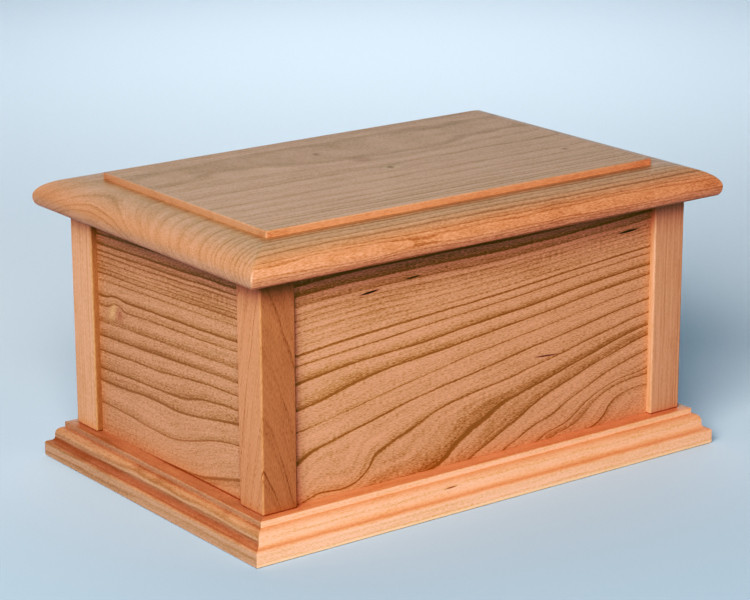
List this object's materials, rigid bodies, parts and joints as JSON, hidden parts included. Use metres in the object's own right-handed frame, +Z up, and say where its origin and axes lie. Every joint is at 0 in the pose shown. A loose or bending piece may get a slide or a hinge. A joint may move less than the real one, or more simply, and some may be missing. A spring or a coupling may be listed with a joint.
{
  "type": "cremation urn",
  "caption": "Rectangular framed box urn in satin cherry: mitred moulded base, square corner posts, recessed panels and a lift-off lid with rounded edge and raised field.",
  "frame": {"origin": "middle of the underside, on the surface that the base stands on", "axes": "+X along the length, +Y to the back (the front looks to -Y), +Z up"},
  "size_m": [0.294, 0.2, 0.1538],
  "materials": {
    "lid_cherry": "satin lacquer",
    "panel_cherry": "satin lacquer",
    "post_cherry": "satin lacquer",
    "base_cherry": "satin lacquer",
    "bottom_cherry": "sanded, thinly sealed"
  },
  "bodies": {
    "root": {"lid": "lid_cherry", "front_panel": "panel_cherry", "back_panel": "panel_cherry", "left_panel": "panel_cherry", "right_panel": "panel_cherry", "front_left_post": "post_cherry", "front_right_post": "post_cherry", "back_left_post": "post_cherry", "back_right_post": "post_cherry", "front_base_moulding": "base_cherry", "back_base_moulding": "base_cherry", "left_base_moulding": "base_cherry", "right_base_moulding": "base_cherry", "bottom_board": "bottom_cherry"}
  },
  "joints": []
}
